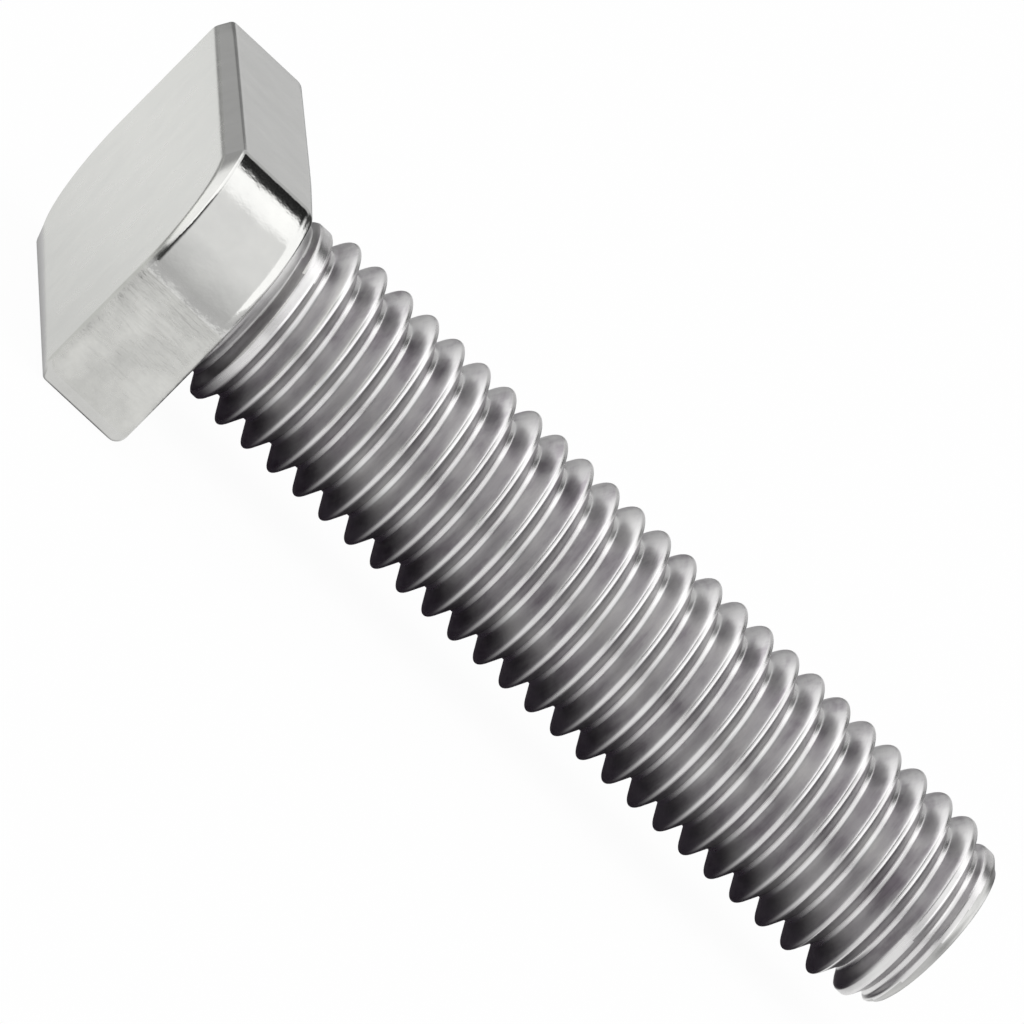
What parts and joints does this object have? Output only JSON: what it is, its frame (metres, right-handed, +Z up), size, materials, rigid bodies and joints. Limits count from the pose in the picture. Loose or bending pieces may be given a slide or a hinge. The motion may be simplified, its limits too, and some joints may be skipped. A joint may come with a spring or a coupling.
{
  "type": "hammer head bolt",
  "caption": "Bolt with a long low hammer head, turned in a slotted channel to lock, and a fully threaded metric shank.",
  "frame": {"origin": "on the thread's axis, in the bearing plane under the head", "axes": "+X along the thread's axis towards its free end, Y along the length of the head, +Z up from the long side of the head that the bolt lies on"},
  "size_m": [0.0389, 0.0224, 0.01],
  "materials": {
    "stainless_steel": "cold forged and tumbled, satin, with brighter rolled thread crests"
  },
  "bodies": {
    "root": {"hammer_head_bolt": "stainless_steel"}
  },
  "joints": []
}
